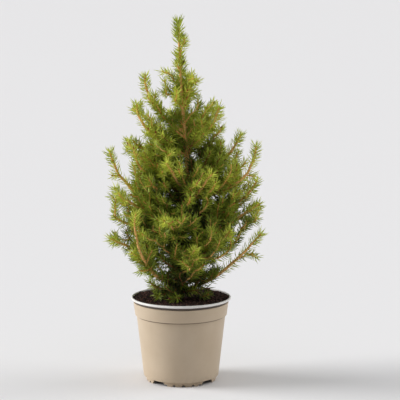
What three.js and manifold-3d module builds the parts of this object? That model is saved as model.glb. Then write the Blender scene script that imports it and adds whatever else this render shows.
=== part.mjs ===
// A young dwarf spruce in its round pot. Millimetres, +Z up, the pot's underside at z = 0.
// The side that faces -Y is the front, and +X is on the right of it.
import * as THREE from "three";
import { mergeVertices } from "three/addons/utils/BufferGeometryUtils.js";
import Module from "manifold-3d";

const wasm = await Module();
wasm.setup();

// Driving dimensions
const gap = 0.3; // air between neighbouring pieces
const roundSides = 28; // facets round the pot, its rim and the compost

const pot = {
  footRadius: 45,
  footHeight: 5.5,
  bodyFootRadius: 48.8,
  stepHeight: 86,
  bodyTopRadius: 57.8,
  collarFootRadius: 59.8,
  collarTopRadius: 61.8,
  height: 104,
  wall: 1.6,
  floor: 2,
};
const notch = { width: 12, height: 4.2, depth: 9, turns: 4 }; // drain openings round the foot
const rim = {
  radius: 65,
  innerRadius: 62.8,
  innerFoot: 108.4, // where the lip's inner face starts to slope in to the neck
  neckRadius: 62.1,
  neckTop: 105.9,
  neckInnerTop: 106.6,
  top: 110,
  lipDepth: 3.1,
  round: 0.9,
};
const compost = {
  neckRadius: 60.1,
  neckHeight: 106.75,
  edgeRadius: 61.9,
  edgeHeight: 108.1,
  shoulderRadius: 34,
  shoulderHeight: 108.3,
  crownHeight: 108.5,
};

const trunk = {
  foot: compost.crownHeight + gap,
  top: 466,
  footRadius: 5,
  tipRadius: 1.2,
  flare: 2.2,
  flareHeight: 7,
  sides: 8,
  rings: 12,
};
const trunkLean = [ // sideways place of the trunk's middle line at each height
  { height: trunk.foot, x: 0 },
  { height: 125, x: 0.1 },
  { height: 194, x: 4.7 },
  { height: 295, x: 8 },
  { height: 353, x: 2.3 },
  { height: 416, x: -0.7 },
  { height: trunk.top, x: -3 },
];

const limb = { rootRadius: 2.4, endRadius: 1.4, sides: 5, rings: 1 };
const plume = { sides: 6, rings: 5, ruffle: 0.12 };
const tuft = { // radius and length are shares of the plume's width, first and last of its length
  radius: 0.55,
  length: 2.3,
  shrink: 0.4,
  first: 0.1,
  last: 0.6,
  spread: 48,
  sides: 5,
  rings: 3,
  ruffle: 0.06,
};
const shootBend = { elbowOut: 0.55, elbowUp: 0.15, tipOut: 0.7, tipUp: 0.75 }; // shares of a shoot's length

// Each bough leaves the trunk at one height, heads off (0 is the right, -90 the front), and ends with its
// foliage at a reach from the pot's axis and a tip height. Elbow: how far out it runs before it turns up.
const boughRows = [
  { name: "left_top", from: 322, heading: 179, reach: 45, tip: 404, elbow: 0.85, width: 10, tufts: 2 },
  { name: "left_shoulder", from: 292, heading: -168, reach: 56, tip: 369, elbow: 0.8, width: 15, tufts: 2 },
  { name: "left_upper", from: 256, heading: -172, reach: 70, tip: 322, elbow: 0.75, width: 19 },
  { name: "left_wing", from: 214, heading: 176, reach: 91, tip: 306, lift: 0.25, width: 10, tufts: 2 },
  { name: "left_middle", from: 206, heading: -160, reach: 91, tip: 264, elbow: 0.8, width: 22 },
  { name: "left_lower", from: 180, heading: 178, reach: 93, tip: 218, elbow: 0.7, width: 13, tufts: 2 },
  { name: "left_foot", from: 153, heading: -170, reach: 99, tip: 193, elbow: 0.55, width: 11, tufts: 2 },
  { name: "front_left", from: 117, heading: -134, reach: 78, tip: 236, elbow: 0.95, lift: 0.1, width: 16 },
  { name: "right_top", from: 300, heading: -6, reach: 44, tip: 365, elbow: 0.7, width: 18, tufts: 2 },
  { name: "right_shoulder", from: 264, heading: 5, reach: 78, tip: 329, width: 11, tufts: 2 },
  { name: "right_wing", from: 238, heading: -6, reach: 95, tip: 315, lift: 0.1, width: 13, tufts: 2 },
  { name: "right_middle", from: 210, heading: 3, reach: 99, tip: 268, elbow: 0.85, width: 18 },
  { name: "right_bulge", from: 178, heading: -5, reach: 107, tip: 238, elbow: 0.65, width: 20 },
  { name: "right_front", from: 154, heading: -38, reach: 86, tip: 224, elbow: 0.7, width: 21 },
  { name: "right_foot", from: 117, heading: -11, reach: 110, tip: 203, elbow: 0.7, lift: 0.5, width: 10 },
  { name: "front_upper", from: 250, heading: -110, reach: 58, tip: 298, elbow: 0.7, width: 18, tufts: 2 },
  { name: "front_right", from: 228, heading: -66, reach: 65, tip: 279, elbow: 0.7, width: 19 },
  { name: "front_face", from: 192, heading: -104, reach: 90, tip: 226, elbow: 0.6, width: 20 },
  { name: "front_lower", from: 144, heading: -76, reach: 77, tip: 190, elbow: 0.6, width: 19 },
  { name: "back_upper", from: 284, heading: 92, reach: 54, tip: 352, elbow: 0.7, width: 19 },
  { name: "back_right", from: 246, heading: 48, reach: 80, tip: 304, elbow: 0.75, width: 19, tufts: 2 },
  { name: "back_left", from: 238, heading: 130, reach: 82, tip: 300, elbow: 0.75, width: 19, tufts: 2 },
  { name: "back_middle", from: 218, heading: 88, reach: 90, tip: 256, elbow: 0.75, width: 20 },
  { name: "back_lower_right", from: 168, heading: 42, reach: 96, tip: 222, elbow: 0.75, width: 20 },
  { name: "back_lower_left", from: 164, heading: 134, reach: 94, tip: 226, elbow: 0.75, width: 20 },
  { name: "back_foot", from: 134, heading: 92, reach: 90, tip: 184, elbow: 0.7, width: 18 },
];
const usual = { elbow: 1, lift: 0.3, tufts: 3 }; // where a row gives none; lift: share of the rise
const boughs = boughRows.map((row) => ({ ...usual, ...row }));
const leafless = 0.2; // share of a bough that is bare from the trunk out

// Masses that sit on the trunk itself: a sleeve of needles with shoots that stand off it all round
const sleeves = [
  { name: "leader", low: 428, high: 476, radius: 8.5, shoots: 0, shootLength: 0, turn: 0 },
  { name: "whorl", low: 399, high: 427, radius: 9, shoots: 3, shootLength: 16, turn: 200 },
  { name: "crown", low: 290, high: 398, radius: 18, shoots: 5, shootLength: 34, turn: 178 },
  { name: "low_skirt", low: 112, high: 134, radius: 19, shoots: 4, shootLength: 50, turn: -140 },
];

const sleeveShoots = { high: 0.85, low: 0.68 }; // shares of a sleeve's length where its shoots leave it

const colours = {
  pot: 0xd2bfa5,
  rim: 0xe9e6e2,
  compost: 0x33241d,
  bark: 0x5a4030,
  needles: 0x76803a,
};

// Helpers for solids

// A closed geometry made ready for joining and cutting.
function toSolid(geometry) {
  const bare = geometry.clone();
  bare.deleteAttribute("normal");
  bare.deleteAttribute("uv");
  const merged = mergeVertices(bare, 1e-3);
  const corners = merged.index.array;
  const kept = [];
  for (let index = 0; index < corners.length; index += 3) {
    const [a, b, c] = corners.slice(index, index + 3);
    if (a !== b && b !== c && c !== a) kept.push(a, b, c);
  }
  const vertProperties = Float32Array.from(merged.attributes.position.array);
  return new wasm.Manifold(new wasm.Mesh({ numProp: 3, vertProperties, triVerts: Uint32Array.from(kept) }));
}

function toGeometry(solid) {
  const mesh = solid.getMesh();
  const geometry = new THREE.BufferGeometry();
  geometry.setAttribute("position", new THREE.BufferAttribute(mesh.vertProperties, 3));
  geometry.setIndex(new THREE.BufferAttribute(mesh.triVerts, 1));
  geometry.computeVertexNormals();
  return geometry;
}

// The largest body of a solid that a cut may have left in pieces.
function largestBody(solid) {
  const bodies = solid.decompose();
  return bodies.reduce((best, body) => (body.volume() > best.volume() ? body : best));
}

// A round bar carried onto a path. Width gives its radius at each share of the path, ruffle its unevenness.
function sweep(path, width, { sides, rings, ruffle = 0, turn = 0, rounded = true }) {
  const bar = new THREE.CylinderGeometry(1, 1, 1, sides, rings);
  const position = bar.attributes.position;
  const spot = new THREE.Vector3();
  for (let index = 0; index < position.count; index++) {
    spot.fromBufferAttribute(position, index);
    const even = spot.y + 0.5;
    const share = rounded ? (1 - Math.cos(Math.PI * even)) / 2 : even;
    const angle = Math.atan2(spot.z, spot.x);
    const wave = Math.sin(3 * angle + 9 * share + turn) + Math.sin(2 * angle - 14 * share + 2 * turn);
    const radius = width(share) * (1 + ruffle * wave);
    const along = path.getTangentAt(share);
    const across = sideways(path);
    const upward = across.clone().cross(along);
    const centre = path.getPointAt(share);
    centre.addScaledVector(across, spot.x * radius);
    centre.addScaledVector(upward, spot.z * radius);
    position.setXYZ(index, centre.x, centre.y, centre.z);
  }
  return toSolid(bar);
}

// The level direction square to a path that stays in one upright plane.
function sideways(path) {
  const run = path.getPointAt(1).sub(path.getPointAt(0));
  const level = new THREE.Vector3(-run.y, run.x, 0);
  return level.lengthSq() < 1 ? new THREE.Vector3(0, 1, 0) : level.normalize();
}

function heading(degrees) {
  const angle = THREE.MathUtils.degToRad(degrees);
  return new THREE.Vector3(Math.cos(angle), Math.sin(angle), 0);
}

// Radius of a brush of needles: a rounded root, widest near the middle, then a blunt point.
function brush(radius) {
  return (share) => Math.max(0.9, radius * Math.sin(Math.PI * share ** 0.8) ** 0.6);
}

// Middle lines

function makeTrunkPath() {
  return new THREE.CatmullRomCurve3(trunkLean.map(({ height, x }) => new THREE.Vector3(x, 0, height)));
}

function trunkPoint(height) {
  const share = THREE.MathUtils.inverseLerp(trunk.foot, trunk.top, height);
  return trunkPath.getPointAt(THREE.MathUtils.clamp(share, 0, 1));
}

function trunkRadius(share) {
  const taper = trunk.footRadius * (1 - share) ** 1.2 + trunk.tipRadius * share;
  const rise = share * (trunk.top - trunk.foot);
  return taper + trunk.flare * Math.exp(-rise / trunk.flareHeight);
}

// A bough's line from the trunk's middle to its last needle: out to the elbow, then up.
function boughPath(bough) {
  const tip = heading(bough.heading).multiplyScalar(bough.reach);
  tip.z = bough.tip;
  const root = trunkPoint(bough.from);
  const elbow = root.clone().lerp(tip, bough.elbow);
  elbow.z = THREE.MathUtils.lerp(root.z, tip.z, bough.lift);
  return new THREE.QuadraticBezierCurve3(root, elbow, tip);
}

// The stretch of a path between two shares of its length.
function stretch(path, start, end) {
  const shares = [0, 0.25, 0.5, 0.75, 1].map((share) => THREE.MathUtils.lerp(start, end, share));
  return new THREE.CatmullRomCurve3(shares.map((share) => path.getPointAt(share)));
}

// A side shoot's line: it leaves at an angle and turns up to the light.
function shootPath(root, degrees, length) {
  const out = heading(degrees);
  const elbow = root.clone().addScaledVector(out, length * shootBend.elbowOut);
  elbow.z += length * shootBend.elbowUp;
  const tip = root.clone().addScaledVector(out, length * shootBend.tipOut);
  tip.z += length * shootBend.tipUp;
  return new THREE.QuadraticBezierCurve3(root, elbow, tip);
}

// Foliage

function shoot(root, degrees, length, radius, turn) {
  const { sides, rings, ruffle } = tuft;
  return sweep(shootPath(root, degrees, length), brush(radius), { sides, rings, ruffle, turn });
}

// A bough's mass: one long plume round the bough, with tufts that fan off it to both sides.
function boughFoliage(bough, index, extra = 0) {
  const path = stretch(boughPath(bough), leafless, 1);
  let mass = sweep(path, brush(bough.width + extra), { ...plume, turn: index });
  for (let count = 0; count < bough.tufts; count++) {
    const share = THREE.MathUtils.lerp(tuft.first, tuft.last, count / (bough.tufts - 1));
    const degrees = bough.heading + (count % 2 === 0 ? tuft.spread : -tuft.spread);
    const length = bough.width * tuft.length * (1 - tuft.shrink * share);
    const radius = bough.width * tuft.radius + extra;
    mass = mass.add(shoot(path.getPointAt(share), degrees, length, radius, index));
  }
  return { name: bough.name, path, radius: bough.width, solid: mass };
}

// A sleeve's mass: a plume round the trunk, with shoots that stand off it by turns high and low.
function sleeveFoliage(sleeve, index) {
  const path = new THREE.LineCurve3(trunkPoint(sleeve.low), trunkPoint(sleeve.high).setZ(sleeve.high));
  let mass = sweep(path, brush(sleeve.radius), { ...plume, turn: index });
  for (let count = 0; count < sleeve.shoots; count++) {
    const degrees = sleeve.turn + (360 * count) / sleeve.shoots;
    const root = path.getPointAt(count % 2 === 0 ? sleeveShoots.high : sleeveShoots.low);
    mass = mass.add(shoot(root, degrees, sleeve.shootLength, sleeve.radius * tuft.radius, index));
  }
  return { name: sleeve.name, solid: mass };
}

// Parting of neighbours

// A block that fills the space on one side of a flat, used to cut a mass off along it.
function halfSpace(point, normal) {
  const size = 600;
  const block = new THREE.BoxGeometry(size, size, size);
  block.translate(0, 0, size / 2);
  block.applyQuaternion(new THREE.Quaternion().setFromUnitVectors(new THREE.Vector3(0, 0, 1), normal));
  block.translate(point.x, point.y, point.z);
  return toSolid(block);
}

// The closest points of two middle lines.
function closestPoints(first, second) {
  const steps = 10;
  let best = { distance: Infinity };
  for (let i = 0; i <= steps; i++) {
    const a = first.getPointAt(i / steps);
    for (let j = 0; j <= steps; j++) {
      const b = second.getPointAt(j / steps);
      const distance = a.distanceTo(b);
      if (distance < best.distance) best = { distance, a, b };
    }
  }
  return best;
}

// Cuts two masses apart along a flat between their middle lines, nearer to the thinner one.
function partMasses(first, second) {
  if (first.solid.intersect(second.solid).isEmpty()) return;
  const { a, b } = closestPoints(first.path, second.path);
  const normal = b.clone().sub(a).normalize();
  const middle = a.clone().lerp(b, first.radius / (first.radius + second.radius));
  const beyond = middle.clone().addScaledVector(normal, -gap / 2);
  const before = middle.clone().addScaledVector(normal, gap / 2);
  first.solid = largestBody(first.solid.subtract(halfSpace(beyond, normal)));
  second.solid = largestBody(second.solid.subtract(halfSpace(before, normal.clone().negate())));
}

// Wood

function trunkSolid(extra = 0) {
  const options = { sides: trunk.sides, rings: trunk.rings, rounded: false };
  return sweep(trunkPath, (share) => trunkRadius(share) + extra, options);
}

function limbSolid(bough, extra = 0) {
  const path = stretch(boughPath(bough), 0, leafless);
  const radius = (share) => THREE.MathUtils.lerp(limb.rootRadius, limb.endRadius, share) + extra;
  return sweep(path, radius, { sides: limb.sides, rings: limb.rings, rounded: false });
}

// Pot

function turned(profile) {
  const points = profile.map(([radius, height]) => new THREE.Vector2(radius, height));
  const geometry = new THREE.LatheGeometry(points, roundSides);
  geometry.rotateX(Math.PI / 2);
  return toSolid(geometry);
}

function potSolid() {
  const inner = (radius) => radius - pot.wall;
  let solid = turned([
    [0, 0],
    [pot.footRadius, 0],
    [pot.footRadius, pot.footHeight],
    [pot.bodyFootRadius, pot.footHeight + 0.5],
    [pot.bodyTopRadius, pot.stepHeight],
    [pot.collarFootRadius, pot.stepHeight + 0.5],
    [pot.collarTopRadius, pot.height],
    [inner(pot.collarTopRadius), pot.height],
    [inner(pot.bodyTopRadius), pot.stepHeight],
    [inner(pot.bodyFootRadius) - 1, pot.footHeight + 0.5],
    [inner(pot.footRadius), pot.floor],
    [0, pot.floor],
  ]);
  for (let count = 0; count < notch.turns; count++) {
    const opening = new THREE.BoxGeometry(notch.depth, notch.width, notch.height * 2);
    opening.translate(pot.footRadius, 0, 0);
    opening.rotateZ(THREE.MathUtils.degToRad(45 + (360 * count) / notch.turns));
    solid = solid.subtract(toSolid(opening));
  }
  return solid;
}

function rimSolid() {
  const seat = pot.height + gap;
  const under = rim.top - rim.lipDepth;
  const neckInner = rim.neckRadius - pot.wall;
  return turned([
    [neckInner, seat],
    [rim.neckRadius, seat],
    [rim.neckRadius, rim.neckTop],
    [rim.radius, under],
    [rim.radius, rim.top - rim.round],
    [rim.radius - rim.round, rim.top],
    [rim.innerRadius, rim.top],
    [rim.innerRadius, rim.innerFoot],
    [neckInner, rim.neckInnerTop],
    [neckInner, seat],
  ]);
}

function compostSolid() {
  const inset = pot.wall + gap;
  return turned([
    [0, pot.floor + gap],
    [pot.footRadius - inset - 1, pot.floor + gap],
    [pot.bodyTopRadius - inset, pot.stepHeight],
    [pot.collarTopRadius - inset, pot.height],
    [compost.neckRadius, compost.neckHeight],
    [compost.edgeRadius, compost.edgeHeight],
    [compost.shoulderRadius, compost.shoulderHeight],
    [0, compost.crownHeight],
  ]);
}

// The model

const model = new THREE.Group();

function place(name, solid, color, roughness) {
  const material = new THREE.MeshStandardMaterial({ color, roughness, metalness: 0 });
  const mesh = new THREE.Mesh(toGeometry(solid), material);
  mesh.name = name;
  model.add(mesh);
}

// The boughs' masses parted from each other, then the sleeves with room left for those masses.
function makeMasses() {
  const masses = boughs.map((bough, index) => boughFoliage(bough, index));
  masses.forEach((first, index) => {
    masses.slice(index + 1).forEach((second) => partMasses(first, second));
  });
  const padded = boughs.map((bough, index) => boughFoliage(bough, index, 2 * gap));
  const taken = padded.reduce((sum, { solid }) => sum.add(solid), trunkSolid(gap));
  const sleeved = sleeves.map(sleeveFoliage);
  return [...masses, ...sleeved.map(({ name, solid }) => ({ name, solid: solid.subtract(taken) }))];
}

const trunkPath = makeTrunkPath();
const masses = makeMasses();
const wood = boughs.reduce((sum, bough) => sum.add(limbSolid(bough, gap)), trunkSolid(gap));

place("pot", potSolid(), colours.pot, 0.6);
place("rim", rimSolid(), colours.rim, 0.5);
place("compost", compostSolid(), colours.compost, 1);
place("trunk", trunkSolid(), colours.bark, 0.9);
boughs.forEach((bough) => {
  const solid = largestBody(limbSolid(bough).subtract(trunkSolid(gap)));
  place(`bough_${bough.name}`, solid, colours.bark, 0.9);
});
masses.forEach(({ name, solid }) => {
  place(`foliage_${name}`, largestBody(solid.subtract(wood)), colours.needles, 0.9);
});

export default model;
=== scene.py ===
# A young dwarf spruce in its round pot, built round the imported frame. Metres, +Z up, the front faces -Y.
import math
import random
import time

import bmesh
import bpy
import numpy as np
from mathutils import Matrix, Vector, noise
from mathutils.bvhtree import BVHTree


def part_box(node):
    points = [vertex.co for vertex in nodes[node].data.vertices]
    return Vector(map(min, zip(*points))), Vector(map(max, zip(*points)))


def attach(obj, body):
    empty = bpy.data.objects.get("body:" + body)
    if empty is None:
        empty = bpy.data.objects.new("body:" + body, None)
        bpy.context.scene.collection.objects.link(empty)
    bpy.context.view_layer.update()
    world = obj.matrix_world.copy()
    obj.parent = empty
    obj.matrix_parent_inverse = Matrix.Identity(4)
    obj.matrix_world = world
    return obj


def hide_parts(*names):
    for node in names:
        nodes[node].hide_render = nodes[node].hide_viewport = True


started = time.time()
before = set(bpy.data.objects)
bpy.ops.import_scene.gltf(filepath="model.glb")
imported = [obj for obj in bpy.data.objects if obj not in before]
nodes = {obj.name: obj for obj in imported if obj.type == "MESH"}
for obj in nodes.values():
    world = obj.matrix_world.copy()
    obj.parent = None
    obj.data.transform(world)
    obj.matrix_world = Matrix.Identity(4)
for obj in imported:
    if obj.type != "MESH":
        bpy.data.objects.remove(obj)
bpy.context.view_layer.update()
up = Vector((0, 0, 1))
goldenTurn = math.radians(137.508)


def say(stage):
    print(f"{time.time() - started:6.1f} s  {stage}")


# Node trees: one method makes any node, and one class does sums on sockets


class NodeBoard:
    def __init__(self, tree):
        self.tree = tree
        self.made = 0

    # Settings go in first, then each socket gets a value or a link.
    def node(self, kind, settings=None, inputs=None):
        node = self.tree.nodes.new(kind)
        node.location = (190 * (self.made % 12), -240 * (self.made // 12))
        self.made += 1
        for name, value in (settings or {}).items():
            setattr(node, name, value)
        for key, value in (inputs or {}).items():
            value = value.socket if isinstance(value, Sum) else value
            if isinstance(value, bpy.types.NodeSocket):
                self.tree.links.new(value, node.inputs[key])
            else:
                node.inputs[key].default_value = value
        return node

    # A node's output, ready for sums.
    def sum(self, kind, settings=None, inputs=None, output=0):
        return Sum(self, self.node(kind, settings, inputs).outputs[output])

    # Each side is a colour of three numbers or a link.
    def mixColour(self, factor, first, second):
        first, second = ((*side, 1) if isinstance(side, tuple) else side for side in (first, second))
        return self.node("ShaderNodeMix", {"data_type": "RGBA"}, {0: factor, 6: first, 7: second}).outputs[2]


class Sum:
    def __init__(self, board, socket):
        self.board = board
        self.socket = socket

    def math(self, operation, *values):
        return self.board.sum("ShaderNodeMath", {"operation": operation}, dict(enumerate(values)))

    def __add__(self, other):
        return self.math("ADD", self, other)

    def __radd__(self, other):
        return self.math("ADD", other, self)

    def __sub__(self, other):
        return self.math("SUBTRACT", self, other)

    def __rsub__(self, other):
        return self.math("SUBTRACT", other, self)

    def __mul__(self, other):
        return self.math("MULTIPLY", self, other)

    def __rmul__(self, other):
        return self.math("MULTIPLY", other, self)

    def __pow__(self, other):
        return self.math("POWER", self, other)

    # 0 below low, 1 above high, smooth between.
    def ramp(self, low, high):
        inputs = {0: self, 1: low, 2: high, 3: 0.0, 4: 1.0}
        return self.board.sum("ShaderNodeMapRange", {"interpolation_type": "SMOOTHSTEP"}, inputs)

    def clamped(self):
        return self.board.sum("ShaderNodeClamp", {}, {0: self})


# Materials


class Finish(NodeBoard):
    def __init__(self, name, **sockets):
        self.material = bpy.data.materials.new(name)
        self.material.use_nodes = True
        super().__init__(self.material.node_tree)
        self.shader = self.tree.nodes["Principled BSDF"]
        for socket, value in sockets.items():
            self.shader.inputs[socket.replace("_", " ")].default_value = value
        self.spot = None

    # Where a pattern is read on the piece; the node is made when it is first asked for.
    def place(self):
        if self.spot is None:
            self.spot = self.node("ShaderNodeTexCoord").outputs["Object"]
        return self.spot

    def grain(self, scale, detail=3.0, roughness=0.5, stretch=None):
        place = self.place()
        if stretch:
            place = self.node("ShaderNodeMapping", {}, {"Vector": place, "Scale": stretch}).outputs[0]
        inputs = {"Vector": place, "Scale": scale, "Detail": detail, "Roughness": roughness}
        return self.sum("ShaderNodeTexNoise", {}, inputs)

    def axes(self):
        parts = self.node("ShaderNodeSeparateXYZ", {}, {0: self.place()}).outputs
        return [Sum(self, part) for part in parts]

    def feed(self, socket, value):
        source = value.socket if isinstance(value, Sum) else value
        self.tree.links.new(source, self.shader.inputs[socket])

    # Relief that is too fine for the mesh; height is in metres.
    def relief(self, height, depth, strength=1.0):
        bump = self.node("ShaderNodeBump", {}, {"Strength": strength, "Distance": depth, "Height": height})
        self.feed("Normal", bump.outputs[0])


# Geometry Nodes: a tree with named inputs, run once on a piece and turned into a plain mesh


class Maker(NodeBoard):
    def __init__(self, name, sizes):
        super().__init__(bpy.data.node_groups.new(name, "GeometryNodeTree"))
        face = self.tree.interface
        face.new_socket("Geometry", in_out="INPUT", socket_type="NodeSocketGeometry")
        for label, (kind, value) in sizes.items():
            made = face.new_socket(label, in_out="INPUT", socket_type=f"NodeSocket{kind}")
            if value is not None:
                made.default_value = value
        face.new_socket("Geometry", in_out="OUTPUT", socket_type="NodeSocketGeometry")
        self.entry = self.node("NodeGroupInput").outputs
        items = [item for item in face.items_tree if item.in_out == "INPUT"]
        self.identifiers = {item.name: item.identifier for item in items}

    def size(self, label):
        return Sum(self, self.entry[label])

    def named(self, attribute):
        return self.sum("GeometryNodeInputNamedAttribute", {"data_type": "FLOAT"}, {"Name": attribute})

    def chance(self, low, high, seed):
        inputs = {2: low, 3: high, 8: seed}
        return self.sum("FunctionNodeRandomValue", {"data_type": "FLOAT"}, inputs, 1)

    # Ends the tree: instances made real, then the material.
    def close(self, geometry):
        real = self.node("GeometryNodeRealizeInstances", {}, {0: geometry}).outputs[0]
        inputs = {"Geometry": real, "Material": self.entry["Material"]}
        done = self.node("GeometryNodeSetMaterial", {}, inputs)
        self.node("NodeGroupOutput", {}, {0: done.outputs[0]})

    # Gives the object the modifier with these sizes, keeps what it makes as its mesh, and takes it off.
    def run(self, piece, sizes):
        modifier = piece.modifiers.new(self.tree.name, "NODES")
        modifier.node_group = self.tree
        for label, value in sizes.items():
            modifier[self.identifiers[label]] = value
        graph = bpy.context.evaluated_depsgraph_get()
        mesh = bpy.data.meshes.new_from_object(piece.evaluated_get(graph))
        piece.modifiers.clear()
        piece.data = mesh
        mesh.name = piece.name
        return piece


# Helpers for meshes


def newPiece(name, vertices, edges, faces, material=None):
    mesh = bpy.data.meshes.new(name)
    mesh.from_pydata(vertices, edges, faces)
    piece = bpy.data.objects.new(name, mesh)
    bpy.context.scene.collection.objects.link(piece)
    if material:
        mesh.materials.append(material)
    return piece


def smooth(piece, degrees=None):
    for face in piece.data.polygons:
        face.use_smooth = True
    if degrees is not None:
        piece.data.set_sharp_from_angle(angle=math.radians(degrees))


def corners(name):
    found = {tuple(round(value, 6) for value in vertex.co) for vertex in nodes[name].data.vertices}
    return np.array(sorted(found))


def between(value, low, high):
    return min(max(value, low), high)


def mix(first, second, share):
    return first + (second - first) * share


# The frame: the trunk's middle line, each bough's line, and the space that the foliage fills


# The trunk's rings of corners from its foot up: each ring's middle and its mean radius.
def readTrunk():
    bandHeight, fewest = 0.004, 4
    bands, levels = {}, []
    for corner in corners("trunk"):
        bands.setdefault(round(corner[2] / bandHeight), []).append(corner)
    for key in sorted(bands):
        ring = np.array(bands[key])
        if len(ring) >= fewest:
            middle = ring.mean(0)
            levels.append((middle, float(np.linalg.norm((ring - middle)[:, :2], axis=1).mean())))
    return levels


trunkLevels = readTrunk()
trunkHeights = [level[0][2] for level in trunkLevels]


def trunkAt(height):
    return Vector([float(np.interp(height, trunkHeights, [level[0][axis] for level in trunkLevels]))
                   for axis in (0, 1)] + [height])


def trunkThick(height):
    return float(np.interp(height, trunkHeights, [level[1] for level in trunkLevels]))


boughNames = sorted(name.removeprefix("bough_") for name in nodes if name.startswith("bough_"))
massNames = sorted(name for name in nodes if name.startswith("foliage_"))

crownPoints, crownFaces = [], []
for name in massNames:
    mesh = nodes[name].data
    first = len(crownPoints)
    crownPoints += [vertex.co.copy() for vertex in mesh.vertices]
    crownFaces += [[first + corner for corner in face.vertices] for face in mesh.polygons]
crownTree = BVHTree.FromPolygons(crownPoints, crownFaces)
crownCloud = np.array(crownPoints)
say(f"frame read: {len(boughNames)} boughs, {len(massNames)} masses")


# Whether a point lies in the foliage's space. The masses stand a hair apart, so as near as slack counts too.
def inCrown(point, slack):
    if crownTree.find_nearest(point, slack)[0] is not None:
        return True
    ray = Vector((0.031, 0.017, 1)).normalized()    # a little off plumb, to miss the masses' poles
    start, crossed = point, 0
    while True:
        hit = crownTree.ray_cast(start, ray)[0]
        if hit is None:
            return crossed % 2 == 1
        crossed += 1
        start = hit + ray * 1e-6


# How far the crown reaches from the trunk, by height and heading, read once from the masses.
envelope = {
    "lowest": 0.104,
    "rise": 0.006,            # from row to row
    "rows": 63,
    "turns": 24,
    "band": 0.013,            # corners this far above or below a row belong to it
    "overlap": 1.1,           # and this many turns to either side of a heading
    "least": 0.009,
}


def readEnvelope():
    table = np.zeros((envelope["rows"], envelope["turns"]))
    headings = (np.arange(envelope["turns"]) + 0.5) / envelope["turns"] * math.tau
    for row in range(envelope["rows"]):
        height = envelope["lowest"] + row * envelope["rise"]
        near = crownCloud[np.abs(crownCloud[:, 2] - height) < envelope["band"]]
        flat = near[:, :2] - np.array(trunkAt(height).xy)
        far = np.linalg.norm(flat, axis=1)
        turns = np.arctan2(flat[:, 1], flat[:, 0])
        for column, heading in enumerate(headings):
            off = np.abs((turns - heading + math.pi) % math.tau - math.pi)
            side = far[off < envelope["overlap"] * math.tau / envelope["turns"]]
            table[row, column] = max(side.max() if len(side) else 0, envelope["least"])
    return table


crownReach = readEnvelope()


def reachAt(height, away):
    row = between(int(round((height - envelope["lowest"]) / envelope["rise"])), 0, envelope["rows"] - 1)
    turn = math.atan2(away.y, away.x) % math.tau
    return crownReach[row, min(int(turn / math.tau * envelope["turns"]), envelope["turns"] - 1)]


# How far out a point is: 0 at the trunk, 1 at the crown's edge on that side.
def outness(point):
    away = point - trunkAt(point.z)
    return between(away.xy.length / reachAt(point.z, away), 0, 1)


# Where shoots may stand besides the masses, and where they may not.
room = {
    "floor": 0.1095,          # nothing grows below this
    # The crown's inside also counts, out to this share of its reach at each height.
    "heights": (0.104, 0.150, 0.190, 0.300, 0.335, 0.352, 0.366),
    "shares": (0.44, 0.54, 0.70, 0.72, 0.66, 0.40, 0.0),
    # Windows that stay clear, seen from the front: middle across and up, half width and half height.
    "windows": (
        (-0.0215, 0.158, 0.0105, 0.0095), (0.058, 0.160, 0.014, 0.010), (0.071, 0.171, 0.011, 0.010),
        (0.084, 0.183, 0.010, 0.010), (-0.057, 0.233, 0.008, 0.006), (-0.069, 0.272, 0.009, 0.026),
        (0.062, 0.312, 0.011, 0.019), (0.010, 0.190, 0.004, 0.007), (-0.052, 0.144, 0.011, 0.009),
        (-0.018, 0.352, 0.007, 0.009), (0.016, 0.366, 0.006, 0.008),
    ),
    # Ends of shoots that stand beyond the masses: middle, and half sizes.
    "plumes": (
        (0.022, -0.004, 0.362, 0.008, 0.010, 0.013), (0.041, -0.004, 0.357, 0.010, 0.010, 0.014),
        (0.097, 0.000, 0.225, 0.007, 0.012, 0.016), (0.094, -0.006, 0.166, 0.010, 0.010, 0.008),
        (-0.086, 0.000, 0.188, 0.007, 0.012, 0.010), (-0.087, 0.000, 0.238, 0.010, 0.010, 0.008),
        (-0.018, 0.000, 0.388, 0.008, 0.010, 0.018), (0.016, 0.000, 0.395, 0.007, 0.010, 0.012),
        (0.028, -0.012, 0.122, 0.014, 0.012, 0.012), (-0.028, -0.014, 0.120, 0.014, 0.012, 0.010),
        (-0.012, -0.030, 0.118, 0.018, 0.012, 0.008),
    ),
    "shown": ("front_left", "front_upper", "front_right"),    # boughs that nothing grows in front of
    "shownFrom": 0.35,        # from this share of their length on
    "shownGap": 0.0062,       # and this far to either side
    "clearing": (0.0045, 0.262, 0.405),    # half width and heights of the gap that shows the trunk in front
    "clearingDepth": 0.002,   # how far before the trunk's middle that gap starts
}
shownLines = []     # the shown boughs' lines, filled in once the boughs are read


def inEllipse(offsets, halves):
    return sum((offset / half) ** 2 for offset, half in zip(offsets, halves)) < 1


def inWindow(point):
    half, low, high = room["clearing"]
    if low < point.z < high:
        trunk = trunkAt(point.z)
        if abs(point.x - trunk.x) < half and point.y < trunk.y - room["clearingDepth"]:
            return True
    return any(inEllipse((point.x - x, point.z - z), halves) for x, z, *halves in room["windows"])


def inPlume(point):
    return any(inEllipse((point.x - x, point.y - y, point.z - z), halves)
               for x, y, z, *halves in room["plumes"])


def hidesShown(point):
    for line in shownLines:
        gaps = np.hypot(line[:, 0] - point.x, line[:, 2] - point.z)
        nearest = int(gaps.argmin())
        if gaps[nearest] < room["shownGap"] and point.y < line[nearest, 1] + room["shownGap"] / 2:
            return True
    return False


def hasRoom(point, slack):
    if point.z < room["floor"] or inWindow(point) or hidesShown(point):
        return False
    if outness(point) < float(np.interp(point.z, room["heights"], room["shares"])) or inPlume(point):
        return True
    return inCrown(point, slack)


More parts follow.
